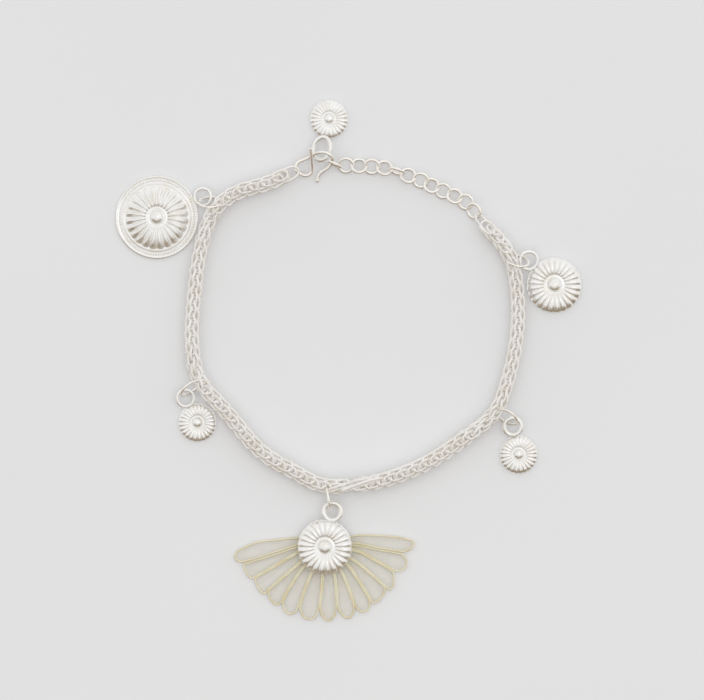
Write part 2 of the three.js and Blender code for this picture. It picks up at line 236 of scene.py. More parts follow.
# The furthest point of each loop's rounded tip.
FAN_TIPS = [
    (-17.05, -2.1), (-14.7, -5.5), (-12.2, -8.7), (-9.5, -11.0), (-6.9, -12.9), (-2.9, -14.0),
    (0.76, -14.2), (4.35, -13.7), (7.6, -12.5), (10.1, -10.5), (12.9, -7.7), (15.4, -3.9), (16.9, 0.1),
]
# Half the space between the two strands that meet on each seam.
SEAM_SPREAD = [0.1, 0.22, 0.14, 0.13, 0.13, 0.14, 0.14, 0.13, 0.13, 0.14, 0.13, 0.14, 0.2, 0.1]
FAN_HEIGHT = 0.42           # middle of the woven sheet over the table
HUB_RADIUS = 3.3
RIB_PITCH = 0.34            # threads across a loop
LACE_PITCH = 0.3            # threads along a loop, over and under the ribs

# Two grains of silver on the bottom charm's rim.
RIM_GRAINS = [(-2.55, 4.35, 0.55), (-1.5, 4.95, 0.55)]
RIM_GRAIN_RADIUS = 0.3


# ---------------------------------------------------------------------------
# Modelling helpers
# ---------------------------------------------------------------------------

def length_mm(value):
    """A property's metres as millimetres."""
    return value / MM


def deselect_all():
    if bpy.context.object and bpy.context.object.mode != "OBJECT":
        bpy.ops.object.mode_set(mode="OBJECT")
    bpy.ops.object.select_all(action="DESELECT")


def make_active(piece):
    deselect_all()
    piece.select_set(True)
    bpy.context.view_layer.objects.active = piece


def new_piece(operator, **settings):
    """Adds a primitive and returns its object."""
    deselect_all()
    operator(**settings)
    return bpy.context.object


def place(piece, matrix):
    """Moves the piece by a matrix and puts the move into its mesh."""
    piece.matrix_world = matrix @ piece.matrix_world
    make_active(piece)
    bpy.ops.object.transform_apply(location=True, rotation=True, scale=True)
    return piece


def copy_of(piece, matrix=None):
    """A copy with a mesh of its own, moved by a matrix."""
    twin = piece.copy()
    twin.data = piece.data.copy()
    bpy.context.collection.objects.link(twin)
    if matrix is not None:
        twin.matrix_world = matrix @ piece.matrix_world
    return twin


def join(pieces):
    """Joins meshes into the first one and puts their places into the mesh."""
    deselect_all()
    for piece in pieces:
        piece.select_set(True)
    bpy.context.view_layer.objects.active = pieces[0]
    if len(pieces) > 1:
        bpy.ops.object.join()
    bpy.ops.object.transform_apply(location=True, rotation=True, scale=True)
    return bpy.context.object


def discard(piece):
    make_active(piece)
    bpy.ops.object.delete()


def as_mesh(piece):
    make_active(piece)
    bpy.ops.object.convert(target="MESH")
    return bpy.context.object


def close_up(piece, merge=0.001):
    """Merges doubles and turns every face outwards."""
    make_active(piece)
    bpy.ops.object.mode_set(mode="EDIT")
    bpy.ops.mesh.select_all(action="SELECT")
    bpy.ops.mesh.remove_doubles(threshold=merge)
    bpy.ops.mesh.normals_make_consistent(inside=False)
    bpy.ops.object.mode_set(mode="OBJECT")
    return piece


def smooth(piece, angle=60):
    make_active(piece)
    bpy.ops.object.shade_smooth_by_angle(angle=math.radians(angle))
    return piece


def settle(piece, name, material, slot, *nodes):
    """Brings a piece from millimetres to metres, names it and fastens it to the body."""
    place(piece, Matrix.Scale(MM, 4))
    piece.name = name
    piece.data.name = name
    piece.data.materials.clear()
    piece.data.materials.append(material)
    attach(piece, BODY)
    if nodes:
        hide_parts(*nodes)
    return piece


def wires(lines, wire, closed=False, sides=1, order=3, fine=1):
    """Round wires along lines of control points, as one mesh. Order 2 keeps the lines straight."""
    piece = new_piece(bpy.ops.curve.primitive_nurbs_path_add)
    curve = piece.data
    curve.splines.clear()
    for line in lines:
        spline = curve.splines.new("NURBS")
        spline.points.add(len(line) - 1)
        for target, point in zip(spline.points, line):
            target.co = (*point, 1)
        spline.use_cyclic_u = closed
        spline.use_endpoint_u = not closed
        spline.order_u = order
        spline.resolution_u = fine
    curve.dimensions = "3D"
    curve.bevel_depth = wire / 2
    curve.bevel_resolution = sides
    curve.use_fill_caps = not closed
    return as_mesh(piece)


class Route:
    """A smooth line through points, measured by distance along it."""

    STEPS = 16

    def __init__(self, points):
        points = [Vector(point) for point in points]
        points = [2 * points[0] - points[1], *points, 2 * points[-1] - points[-2]]
        self.line = []
        for four in zip(points, points[1:], points[2:], points[3:]):
            self.line += [self.blend(four, i / self.STEPS) for i in range(self.STEPS)]
        self.line.append(points[-2])
        self.along = [0.0]
        for one, two in zip(self.line, self.line[1:]):
            self.along.append(self.along[-1] + (two - one).length)
        self.length = self.along[-1]

    @staticmethod
    def blend(four, share):
        """A centripetal Catmull-Rom curve between the middle two of four points."""
        a, b, c, d = four
        knots = [0.0]
        for one, two in ((a, b), (b, c), (c, d)):
            knots.append(knots[-1] + math.sqrt(max((two - one).length, 1e-6)))
        t = knots[1] + (knots[2] - knots[1]) * share

        def mix(one, two, start, end):
            return one + (two - one) * ((t - start) / (end - start))

        ab = mix(a, b, knots[0], knots[1])
        bc = mix(b, c, knots[1], knots[2])
        cd = mix(c, d, knots[2], knots[3])
        return mix(mix(ab, bc, knots[0], knots[2]), mix(bc, cd, knots[1], knots[3]), knots[1], knots[2])

    def at(self, distance):
        """The point at a distance, on a straight line beyond the ends."""
        if distance <= 0:
            return self.line[0] + (self.line[1] - self.line[0]).normalized() * distance
        if distance >= self.length:
            return self.line[-1] + (self.line[-1] - self.line[-2]).normalized() * (distance - self.length)
        low, high = 0, len(self.along) - 1
        while high - low > 1:
            middle = (low + high) // 2
            if self.along[middle] > distance:
                high = middle
            else:
                low = middle
        share = (distance - self.along[low]) / (self.along[high] - self.along[low])
        return self.line[low].lerp(self.line[high], share)

    def beside(self, distance, side):
        """The point at a distance, moved to the left of the way by side."""
        along = (self.at(distance + 0.1) - self.at(distance - 0.1)).normalized()
        return self.at(distance) + UP.cross(along) * side


def frame_between(start, end, turn):
    """A matrix at start whose X runs to end, turned about X by degrees from level."""
    along = (end - start).normalized()
    side = UP.cross(along).normalized()
    up = along.cross(side)
    axes = Matrix((along, side, up)).transposed().to_4x4()
    return Matrix.Translation(start) @ axes @ Matrix.Rotation(math.radians(turn), 4, "X")


def stepped(table, distance):
    """Reads a table of (distance, values...) rows, with straight lines between rows."""
    for (d0, *values0), (d1, *values1) in zip(table, table[1:]):
        if distance <= d1:
            share = max(0, (distance - d0) / (d1 - d0))
            return [v0 + (v1 - v0) * share for v0, v1 in zip(values0, values1)]
    return table[-1][1:]


# ---------------------------------------------------------------------------
# Materials
# ---------------------------------------------------------------------------

def new_material(name):
    material = bpy.data.materials.new(name)
    material.use_nodes = True
    shader = material.node_tree.nodes["Principled BSDF"]
    return material, material.node_tree, shader


def add_node(tree, kind, **settings):
    node = tree.nodes.new(kind)
    for key, value in settings.items():
        if key in node.inputs:
            node.inputs[key].default_value = value
        else:
            setattr(node, key, value)
    return node


def object_noise(tree, scale, detail=2.0):
    coords = add_node(tree, "ShaderNodeTexCoord")
    noise = add_node(tree, "ShaderNodeTexNoise", Scale=scale, Detail=detail)
    tree.links.new(coords.outputs["Object"], noise.inputs["Vector"])
    return noise.outputs["Fac"]


def ramp_between(tree, source, low, high, start=0.3, end=0.7):
    """Two colours (or greys) mixed by a source between two of its values."""
    ramp = add_node(tree, "ShaderNodeValToRGB")
    ramp.color_ramp.elements[0].position = start
    ramp.color_ramp.elements[1].position = end
    ramp.color_ramp.elements[0].color = low
    ramp.color_ramp.elements[1].color = high
    tree.links.new(source, ramp.inputs["Fac"])
    return ramp.outputs["Color"]


def grey(value):
    return (value, value, value, 1)


def mottle(tree, shader, colour, shade, source, start=0.3, end=0.7):
    """A base colour that drifts to a darker one, whose channels are scaled by shade."""
    dark = (*(value * share for value, share in zip(colour, shade)), 1)
    tree.links.new(ramp_between(tree, source, dark, (*colour, 1), start, end), shader.inputs["Base Color"])


def emboss(tree, shader, source, strength, distance):
    bump = add_node(tree, "ShaderNodeBump", Strength=strength, Distance=distance)
    tree.links.new(source, bump.inputs["Height"])
    tree.links.new(bump.outputs["Normal"], shader.inputs["Normal"])


def silver_material(name, colour, roughness, matte, grain_scale, grain_depth):
    """Silver with cloudy polish, faint warm tarnish and a fine pickled grain. matte is 0 to 1."""
    material, tree, shader = new_material(name)
    shader.inputs["Metallic"].default_value = 1 - matte
    mottle(tree, shader, colour, (0.95, 0.93, 0.89), object_noise(tree, 420, detail=3), 0.34, 0.56)
    wear = object_noise(tree, 900, detail=4)
    rough = ramp_between(tree, wear, grey(roughness * 0.8), grey(roughness * 1.25))
    tree.links.new(rough, shader.inputs["Roughness"])
    emboss(tree, shader, object_noise(tree, grain_scale, detail=3), 0.35, grain_depth)
    return material


def paint_gap_glow(material, reach, strength):
    """Painted light: a faint glow in the gaps between wires, fitted to this stage's light alone. Silver
    has none.
    """
    tree = material.node_tree
    shader = tree.nodes["Principled BSDF"]
    # Painted light: the emission is strongest where ambient occlusion finds the wires closed in.
    open_sky = add_node(tree, "ShaderNodeAmbientOcclusion", Distance=reach)
    glow = ramp_between(tree, open_sky.outputs["AO"], grey(strength), grey(0), 0.25, 0.9)
    shader.inputs["Emission Color"].default_value = (1, 0.965, 0.915, 1)
    tree.links.new(glow, shader.inputs["Emission Strength"])


def wound_hair_material(name, colour):
    """Horsehair wound round a core: fine turns across the strand, straw yellow."""
    material, tree, shader = new_material(name)
    shader.inputs["Roughness"].default_value = 0.5
    shader.inputs["Sheen Weight"].default_value = 0.25
    shader.inputs["Subsurface Weight"].default_value = 0.15
    shader.inputs["Subsurface Scale"].default_value = 0.0003
    mottle(tree, shader, colour, (0.9, 0.86, 0.74), object_noise(tree, 260), 0.3, 0.6)
    coords = add_node(tree, "ShaderNodeTexCoord")
    turns = add_node(tree, "ShaderNodeTexWave", Scale=5200.0, Distortion=1.0)
    turns.bands_direction = "DIAGONAL"
    tree.links.new(coords.outputs["Object"], turns.inputs["Vector"])
    emboss(tree, shader, turns.outputs["Fac"], 0.5, 0.00006)
    return material


def woven_hair_material(name, colour):
    """Single hairs: pale, glossy and a little see-through."""
    material, tree, shader = new_material(name)
    shader.inputs["Transmission Weight"].default_value = 0.2
    shader.inputs["IOR"].default_value = 1.5
    rough = ramp_between(tree, object_noise(tree, 1500), grey(0.3), grey(0.5))
    tree.links.new(rough, shader.inputs["Roughness"])
    mottle(tree, shader, colour, (0.93, 0.9, 0.82), object_noise(tree, 700, detail=3), 0.3, 0.65)
    emboss(tree, shader, object_noise(tree, 9000), 0.3, 0.00001)
    return material


def table_material(colour):
    """Smooth matte paper with hardly visible clouds."""
    material, tree, shader = new_material("table_paper")
    shader.inputs["Roughness"].default_value = 0.85
    shader.inputs["Specular IOR Level"].default_value = 0.15
    mottle(tree, shader, colour, (0.985, 0.985, 0.99), object_noise(tree, 12))
    return material


# ---------------------------------------------------------------------------
# Properties
# ---------------------------------------------------------------------------

def length_property(name, description, default, least=0.0002, precision=5):
    return FloatProperty(name=name, description=description, default=default, min=least,
                         unit="LENGTH", precision=precision)


def colour_property(name, description, default):
    return FloatVectorProperty(name=name, description=description, default=default, size=3,
                               min=0, max=1, subtype="COLOR")


class ChainSettings(PropertyGroup):
    pitch: length_property("Link pitch", "Distance from one chain link to the next", 0.0012, 0.0008)
    wire: length_property("Link wire", "Wire thickness of a chain link", 0.00049)
    ring_wire: length_property("Jump ring wire", "Wire thickness of the jump rings", 0.00042)
    ring_radius: length_property("Jump ring radius", "Radius to the middle of the wire", 0.00212, 0.001)
    extender_wire: length_property("Extender wire", "Wire thickness of the round links", 0.0005)
    extender_radius: length_property("Extender link radius", "Radius to the middle of the wire",
                                     0.00138, 0.0005)
    hook_wire: length_property("Hook wire", "Wire thickness of the hook", 0.00056)
    chain_colour: colour_property("Chain silver", "Colour of the woven chain", (0.872, 0.855, 0.832))
    wire_colour: colour_property("Wire silver", "Colour of the rings, extender and hook",
                                 (0.92, 0.895, 0.855))


class CharmSettings(PropertyGroup):
    grains: IntProperty(name="Rope grains", description="Slanting grains in the medallion's border",
                        default=90, min=24)
    colour: colour_property("White silver", "Colour of the matte pickled silver", (0.88, 0.875, 0.86))


class FanSettings(PropertyGroup):
    strand: length_property("Outline strand", "Thickness of the wound outline", 0.00034)
    hair: length_property("Hair", "Thickness of one woven hair", 0.00004, 0.00003, precision=6)
    outline_colour: colour_property("Wound hair", "Colour of the wound outlines", (0.88, 0.825, 0.62))
    weave_colour: colour_property("Woven hair", "Colour of the woven filling", (1.0, 0.95, 0.8))


class StageSettings(PropertyGroup):
    table_colour: colour_property("Table", "Colour of the pale table", (0.812, 0.817, 0.825))
    view_width: length_property("View width", "Width of table that the camera sees", 0.13376, 0.05,
                                precision=4)
    camera_height: length_property("Camera height", "Height of the camera over the table", 1.0, 0.2,
                                   precision=2)


# ---------------------------------------------------------------------------
# The chain
# ---------------------------------------------------------------------------

def whole_loop(quarter):
    """Mirrors a quarter of a folded link round to the whole closed wire."""
    quarter = [Vector(point) for point in quarter]
    below = [Vector((p.x, p.y, -p.z)) for p in reversed(quarter[:-1])]
    back = [Vector((p.x, -p.y, -p.z)) for p in quarter[1:]]
    above = [Vector((p.x, -p.y, p.z)) for p in reversed(quarter[1:-1])]
    return [*quarter, *below, *back, *above]


def long_loop_points(length, half_width):
    """A flat oval that starts at the origin and runs along X."""
    points = []
    count = 20
    for i in range(count):
        turn = 2 * math.pi * i / count
        x = length / 2 * (1 - abs(math.cos(turn)) ** 0.8 * math.copysign(1, math.cos(turn)))
        points.append((x, half_width * math.sin(turn), 0))
    return points


def chain_links(route, wire, pitch):
    """All the chain's links as one mesh."""
    flat, edge = (wires([whole_loop(quarter)], wire, closed=True) for quarter in (FLAT_LINK, EDGE_LINK))
    reach = FLAT_LINK[-1][0]
    copies = []
    for stretch in CHAIN_STRETCHES:
        count = int((stretch["end"] - stretch["start"] - reach) / pitch) + 1
        for i in range(count):
            if stretch["forward"]:
                fold = stretch["start"] + i * pitch
                eye = fold + reach
            else:
                fold = stretch["end"] - i * pitch
                eye = fold - reach
            turn, lean = stepped(CHAIN_LIE, (fold + eye) / 2)
            if not stretch["forward"]:
                turn = -turn
            if i % 2:
                lean = -lean
            template = flat if abs(turn) < 45 else edge
            copies.append(copy_of(template, frame_between(route.at(fold), route.at(eye), turn + lean)))
    discard(flat)
    discard(edge)
    for loop in LONG_LOOPS:
        start, end = (route.beside(loop[key], side) for key, side in zip(("start", "end"), loop["sides"]))
        points = long_loop_points((end - start).length, loop["half_width"])
        piece = wires([points], wire, closed=True, fine=2)
        lift = Matrix.Translation((0, 0, loop["lift"]))
        copies.append(place(piece, lift @ frame_between(start, end, loop["turn"])))
    return join(copies)


class BRACELET_OT_chain(Operator):
    """Model the loop-in-loop chain"""
    bl_idname = "bracelet.chain"
    bl_label = "Loop-in-loop Chain"

    def execute(self, context):
        settings = context.scene.bracelet_chain
        route = Route([(x, y, CHAIN_HEIGHT) for x, y in CHAIN_ROUTE])
        chain = chain_links(route, length_mm(settings.wire), length_mm(settings.pitch))
        smooth(chain)
        silver = silver_material("woven_wire_silver", settings.chain_colour, roughness=0.38, matte=0.85,
                                 grain_scale=6000, grain_depth=0.00001)
        # Painted light: the chain's gaps glow faintly, which lifts their shade.
        paint_gap_glow(silver, reach=settings.pitch, strength=0.085)
        settle(chain, "loop_in_loop_chain", silver, "chain_silver", "main_chain")
        return {"FINISHED"}


# ---------------------------------------------------------------------------
# Rings, extender and hook
# ---------------------------------------------------------------------------

RING_STEPS = 72
RING_SIDES = 10


def open_ring(radius, wire):
    """A wire ring in the table's plane with a fine slit where its ends meet."""
    ring = new_piece(bpy.ops.mesh.primitive_torus_add, major_radius=radius, minor_radius=wire / 2,
                     major_segments=RING_STEPS, minor_segments=RING_SIDES)
    bpy.ops.object.mode_set(mode="EDIT")
    bpy.ops.mesh.select_all(action="DESELECT")
    mesh = bmesh.from_edit_mesh(ring.data)
    for face in mesh.faces:
        middle = face.calc_center_median()
        face.select = middle.x > 0 and 0 < math.atan2(middle.y, middle.x) < 2 * math.pi / RING_STEPS
    bmesh.update_edit_mesh(ring.data)
    bpy.ops.mesh.delete(type="FACE")
    bpy.ops.mesh.select_all(action="SELECT")
    bpy.ops.mesh.fill_holes(sides=RING_SIDES)
    bpy.ops.mesh.normals_make_consistent(inside=False)
    bpy.ops.object.mode_set(mode="OBJECT")
    return ring


def ring_place(ring, radius, wire):
    """The matrix of a ring that stands on the table on its lowest point."""
    tilt = math.radians(ring["tilt"])
    height = radius * abs(math.sin(tilt)) + wire / 2
    return (Matrix.Translation((ring["x"], ring["y"], height))
            @ Matrix.Rotation(math.radians(ring["azimuth"]), 4, "Z")
            @ Matrix.Rotation(tilt, 4, "X"))


class BRACELET_OT_rings(Operator):
    """Model the jump rings and the extender's round links"""
    bl_idname = "bracelet.rings"
    bl_label = "Rings and Extender"

    def execute(self, context):
        settings = context.scene.bracelet_chain
        bright = silver_material("drawn_silver", settings.wire_colour, roughness=0.3, matte=0.15,
                                 grain_scale=5000, grain_depth=0.000008)
        radius, wire = length_mm(settings.ring_radius), length_mm(settings.ring_wire)
        template = open_ring(radius, wire)
        self.single_rings(template, JUMP_RINGS, radius, wire, bright)
        discard(template)

        radius, wire = length_mm(settings.extender_radius), length_mm(settings.extender_wire)
        template = open_ring(radius, wire)
        self.single_rings(template, END_RINGS, radius, wire, bright)
        row = [END_RINGS[0], *EXTENDER_LINKS, END_RINGS[1]]
        links = []
        for before, link, after in zip(row, row[1:], row[2:]):
            azimuth = math.degrees(math.atan2(after["y"] - before["y"], after["x"] - before["x"]))
            links.append(copy_of(template, ring_place({**link, "azimuth": azimuth}, radius, wire)))
        discard(template)
        extender = smooth(join(links))
        settle(extender, "extender_links", bright, "chain_silver", "extender_chain")
        return {"FINISHED"}

    def single_rings(self, template, rings, radius, wire, material):
        """Rings that are each a piece of their own."""
        for ring in rings:
            piece = smooth(join([copy_of(template, ring_place(ring, radius, wire))]))
            settle(piece, ring["node"] + "_wire", material, "wire_silver", ring["node"])


class BRACELET_OT_hook(Operator):
    """Model the S-hook, one bent wire with a ball melted on its tip"""
    bl_idname = "bracelet.hook"
    bl_label = "S-hook"

    def execute(self, context):
        settings = context.scene.bracelet_chain
        route = Route(HOOK_ROUTE)
        steps = 90
        points = [route.at(route.length * i / steps) for i in range(steps + 1)]
        wire = wires([points], length_mm(settings.hook_wire), sides=3)
        ball = new_piece(bpy.ops.mesh.primitive_uv_sphere_add, segments=20, ring_count=12, radius=0.36,
                         location=HOOK_ROUTE[-1])
        hook = smooth(join([wire, ball]))
        bright = bpy.data.materials["drawn_silver"]
        settle(hook, "bent_hook", bright, "wire_silver", "s_hook")
        return {"FINISHED"}


# ---------------------------------------------------------------------------
# Flowers
# ---------------------------------------------------------------------------

WEDGE_COLUMNS = 6           # from a petal's crest to the valley beside it


def draw_outline(rows):
    """A line of edges through (radius, height) rows, drawn by extruding a point."""
    piece = new_piece(bpy.ops.mesh.primitive_plane_add, size=0.1)
    bpy.ops.object.mode_set(mode="EDIT")
    bpy.ops.mesh.select_all(action="SELECT")
    bpy.ops.mesh.merge(type="CENTER")
    radius, height = rows[0]
    bpy.ops.transform.translate(value=(radius, 0, height))
    for (r0, z0), (r1, z1) in zip(rows, rows[1:]):
        bpy.ops.mesh.extrude_region_move(TRANSFORM_OT_translate={"value": (r1 - r0, 0, z1 - z0)})
    bpy.ops.object.mode_set(mode="OBJECT")
    return piece


def petal_lift(flower, radius, side):
    """Height of a petal over the base: a soft ridge with rounded ends. side is 0 to 1."""
    start, end = flower["petal_start"], flower["petal_end"]
    over = 0
    if radius < start + flower["start_round"]:
        over = (start + flower["start_round"] - radius) / flower["start_round"]
    if radius > end - flower["end_round"]:
        over = (radius - end + flower["end_round"]) / flower["end_round"]
    outward = (radius - start) / (end - start)
    ridge = max(0, math.cos(math.pi / 2 * side)) ** flower["narrowing"]
    return flower["rise"] * (0.3 + 0.7 * outward) * ridge * (1 - over ** 2)


def petal_squeeze(flower, radius, side):
    """Share of the radius left at the side of a petal, whose tip is rounded."""
    outward = (radius - flower["petal_start"]) / (flower["petal_end"] - flower["petal_start"])
    return 1 - flower["scallop"] * side ** 2 * outward ** 2


def select_spots(piece, half, radius, height, side):
    """Selects the wedge's two vertices (or one) of an outline row at a share of its half width."""
    mesh = bmesh.from_edit_mesh(piece.data)
    for vertex in mesh.verts:
        x, y, z = vertex.co
        turned = abs(abs(math.atan2(y, x)) - half) / half
        vertex.select = (abs(math.hypot(x, y) - radius) < 1e-4 and abs(z - height) < 1e-4
                         and abs(turned - side) < 1e-2)
    bmesh.update_edit_mesh(piece.data)


def model_flower(flower):
    """One petal's wedge, spun from the outline, lifted and copied all the way round."""
    rows = [*flower["rows"], (flower["back_radius"] * 0.5, 0.0), (0.0, 0.0)]
    piece = draw_outline(rows)
    half = math.pi / flower["petals"]
    bpy.ops.object.mode_set(mode="EDIT")
    bpy.ops.mesh.select_mode(type="VERT")
    bpy.ops.mesh.select_all(action="SELECT")
    bpy.ops.mesh.spin(steps=2 * WEDGE_COLUMNS, angle=2 * half, center=(0, 0, 0), axis=(0, 0, 1))
    for radius, height in flower["rows"]:
        if height == 0 or not flower["petal_start"] < radius < flower["petal_end"]:
            continue
        for column in range(WEDGE_COLUMNS + 1):
            side = column / WEDGE_COLUMNS
            select_spots(piece, half, radius, height, side)
            squeeze = petal_squeeze(flower, radius, side)
            bpy.ops.transform.resize(value=(squeeze, squeeze, 1), center_override=(0, 0, 0))
            bpy.ops.transform.translate(value=(0, 0, petal_lift(flower, radius, side)))
    bpy.ops.mesh.select_all(action="SELECT")
    bpy.ops.mesh.spin(steps=flower["petals"], angle=2 * math.pi, dupli=True, center=(0, 0, 0),
                      axis=(0, 0, 1))
    bpy.ops.object.mode_set(mode="OBJECT")
    return smooth(close_up(piece, merge=0.004), 80)


def charm_loop(loop):
    """The soldered loop, in the charm's own place."""
    piece = new_piece(bpy.ops.mesh.primitive_torus_add, major_radius=loop["outer"] - loop["wire"] / 2,
                      minor_radius=loop["wire"] / 2, major_segments=56, minor_segments=14)
    matrix = (Matrix.Rotation(math.radians(loop["angle"]), 4, "Z")
              @ Matrix.Translation((loop["distance"], 0, loop["height"]))
              @ Matrix.Rotation(-math.radians(loop["pitch"]), 4, "Y")
              @ Matrix.Rotation(math.radians(loop["roll"]), 4, "X")
              @ Matrix.Diagonal((1, loop["narrow"], 1, 1)))
    return smooth(place(piece, matrix))


class BRACELET_OT_daisies(Operator):
    """Model the five daisy charms"""
    bl_idname = "bracelet.daisies"
    bl_label = "Daisy Charms"

    def execute(self, context):
        settings = context.scene.bracelet_charms
        white = silver_material("pickled_silver", settings.colour, roughness=0.3, matte=0.2,
                                grain_scale=3500, grain_depth=0.000006)
        models = {
            "top_daisy": SMALL_FLOWER,
            "lower_right_daisy": SMALL_FLOWER,
            "lower_left_daisy": SMALL_FLOWER,
            "right_daisy": MEDIUM_FLOWER,
            "bottom_daisy": MEDIUM_FLOWER,
        }
        templates = {id(flower): model_flower(flower) for flower in (SMALL_FLOWER, MEDIUM_FLOWER)}
        for node, flower in models.items():
            loop = CHARM_LOOPS[node]
            parts = [copy_of(templates[id(flower)]), charm_loop(loop)]
            if node == "bottom_daisy":
                parts += [self.rim_grain(spot) for spot in RIM_GRAINS]
            charm = join(parts)
            place(charm, Matrix.Translation((loop["x"], loop["y"], loop["base"])))
            settle(charm, node + "_silver", white, "satin_silver", node)
        for template in templates.values():
            discard(template)
        return {"FINISHED"}

    def rim_grain(self, spot):
        grain = new_piece(bpy.ops.mesh.primitive_uv_sphere_add, segments=12, ring_count=8,
                          radius=RIM_GRAIN_RADIUS, location=spot)
        return smooth(grain)


def rope_grains(count):
    """The border's slanting grains, one beside the other on a circle."""
    grain = new_piece(bpy.ops.mesh.primitive_uv_sphere_add, segments=8, ring_count=5, radius=1)
    stretch = Matrix.Diagonal((*ROPE_GRAIN, 1))
    place(grain, Matrix.Rotation(math.radians(ROPE_SLANT), 4, "Z") @ stretch)
    copies = []
    for i in range(count):
        turn = Matrix.Rotation(2 * math.pi * i / count, 4, "Z")
        seat = Matrix.Translation((0, -ROPE_RADIUS, ROPE_HEIGHT))
        copies.append(copy_of(grain, turn @ seat))
    discard(grain)
    return smooth(join(copies))


class BRACELET_OT_medallion(Operator):
    """Model the rimmed medallion with its roped border"""
    bl_idname = "bracelet.medallion"
    bl_label = "Medallion"

    def execute(self, context):
        settings = context.scene.bracelet_charms
        loop = CHARM_LOOPS["medallion"]
        head = model_flower(MEDALLION_FLOWER)
        medallion = join([head, rope_grains(settings.grains), charm_loop(loop)])
        place(medallion, Matrix.Translation((loop["x"], loop["y"], loop["base"])))
        white = bpy.data.materials["pickled_silver"]
        settle(medallion, "rimmed_medallion", white, "satin_silver", "medallion")
        return {"FINISHED"}


# ---------------------------------------------------------------------------
# The horsehair fan
# ---------------------------------------------------------------------------

class WovenLoop:
    """One drop-shaped loop between two seams, addressed by its length and its width."""

    def __init__(self, left, right, tip, spreads):
        self.left = Route([(x, y, 0) for x, y in left])
        self.right = Route([(x, y, 0) for x, y in right])
        self.spreads = spreads
        one, two = self.sides(1)
        self.middle = (one + two) / 2
        self.half = (two - one) / 2
        self.reach = Vector((*tip, 0)) - self.middle
        self.side_length = (self.left.length + self.right.length) / 2
        self.length = self.side_length + self.reach.length

    def sides(self, share):
        """The two side strands' points at a share of the straight part."""
        one = self.left.at(self.left.length * share)
        two = self.right.at(self.right.length * share)
        across = (two - one).normalized()
        return one + across * self.spreads[0], two - across * self.spreads[1]

    def point(self, distance, width):
        """width runs from -1 on the left strand to 1 on the right one."""
        if distance <= self.side_length:
            one, two = self.sides(distance / self.side_length)
            return (one + two) / 2 + (two - one) / 2 * width
        over = (distance - self.side_length) / self.reach.length
        return self.middle + self.half * width + self.reach * over

    def width_at(self, distance):
        """How much of the full width the rounded tip leaves at a distance."""
        over = max(0, distance - self.side_length) / self.reach.length
        return math.sqrt(max(0, 1 - over ** 2))

    def end_at(self, width):
        """Where a thread along the loop meets the rounded tip."""
        return self.side_length + self.reach.length * math.sqrt(1 - width ** 2)

    def outline(self):
        steps, arch_steps = 8, 12
        out = [self.sides(i / steps)[0] for i in range(steps + 1)]
        back = [self.sides(1 - i / steps)[1] for i in range(steps + 1)]
        arch = []
        for i in range(1, arch_steps):
            turn = math.pi * i / arch_steps
            arch.append(self.middle - self.half * math.cos(turn) + self.reach * math.sin(turn))
        return [*out, *arch, *back]

    def threads(self):
        """Lines of points: ribs across, then laces that go over and under them."""
        ribs = int((self.length - 0.4) / RIB_PITCH)
        stations = [0.3 + i * RIB_PITCH for i in range(ribs)]
        for distance in stations:
            width = self.width_at(distance)
            yield [self.point(distance, side * width) for side in (-1, -0.35, 0.35, 1)]
        widest = 2 * self.half.length
        laces = int(widest / LACE_PITCH)
        for i in range(1, laces):
            width = -1 + 2 * i / laces
            end = self.end_at(width)
            line = []
            for number, distance in enumerate(stations):
                if distance < end:
                    lift = 0.05 if (number + i) % 2 else -0.05
                    line.append(self.point(distance, width) + UP * lift)
            yield [*line, self.point(end, width)]


def fan_loops():
    for seam, tip in enumerate(FAN_TIPS):
        yield WovenLoop(FAN_SEAMS[seam], FAN_SEAMS[seam + 1], tip, SEAM_SPREAD[seam:seam + 2])


class BRACELET_OT_fan(Operator):
    """Model the horsehair fan: wound outlines, hub coil and woven sheets"""
    bl_idname = "bracelet.fan"
    bl_label = "Horsehair Fan"

    def execute(self, context):
        settings = context.scene.bracelet_fan
        seat = Matrix.Translation((*FAN_MIDDLE, FAN_HEIGHT))
        loops = list(fan_loops())

        strand = length_mm(settings.strand)
        outlines = wires([loop.outline() for loop in loops], strand, sides=2, order=2)
        coil = self.hub_coil(strand)
        wound = wound_hair_material("wound_horsehair", settings.outline_colour)
        frame_piece = smooth(place(join([outlines, coil]), seat))
        settle(frame_piece, "fan_outlines", wound, "horsehair", "horsehair_fan")

        hair = length_mm(settings.hair)
        weave = wires([line for loop in loops for line in loop.threads()], hair, sides=0, order=2)
        woven = woven_hair_material("woven_horsehair", settings.weave_colour)
        settle(smooth(place(weave, seat)), "fan_weave", woven, "horsehair")
        return {"FINISHED"}

    def hub_coil(self, strand):
        """Two flat coils, one on the other, that fill the middle under the daisy."""
        steps = 20
        count = steps * int(HUB_RADIUS / strand)
        lines = []
        for layer in (-1, 1):
            line = []
            for i in range(count):
                radius = strand / 2 + HUB_RADIUS * i / count
                turn = 2 * math.pi * i / steps
                line.append((radius * math.cos(turn), radius * math.sin(turn), layer * strand * 0.45))
            lines.append(line)
        return wires(lines, strand, order=2)


# ---------------------------------------------------------------------------
# Stage
# ---------------------------------------------------------------------------

LIGHT_PLACE = (0.3, 0.14, 0.85)
LIGHT_POWER = 0.3
DARK_SIDE = (0.25, 0.175, 0.095, 1)
VIEW_SHIFT = (0.0007, 0.0021)   # from the model's middle to the view's, in metres


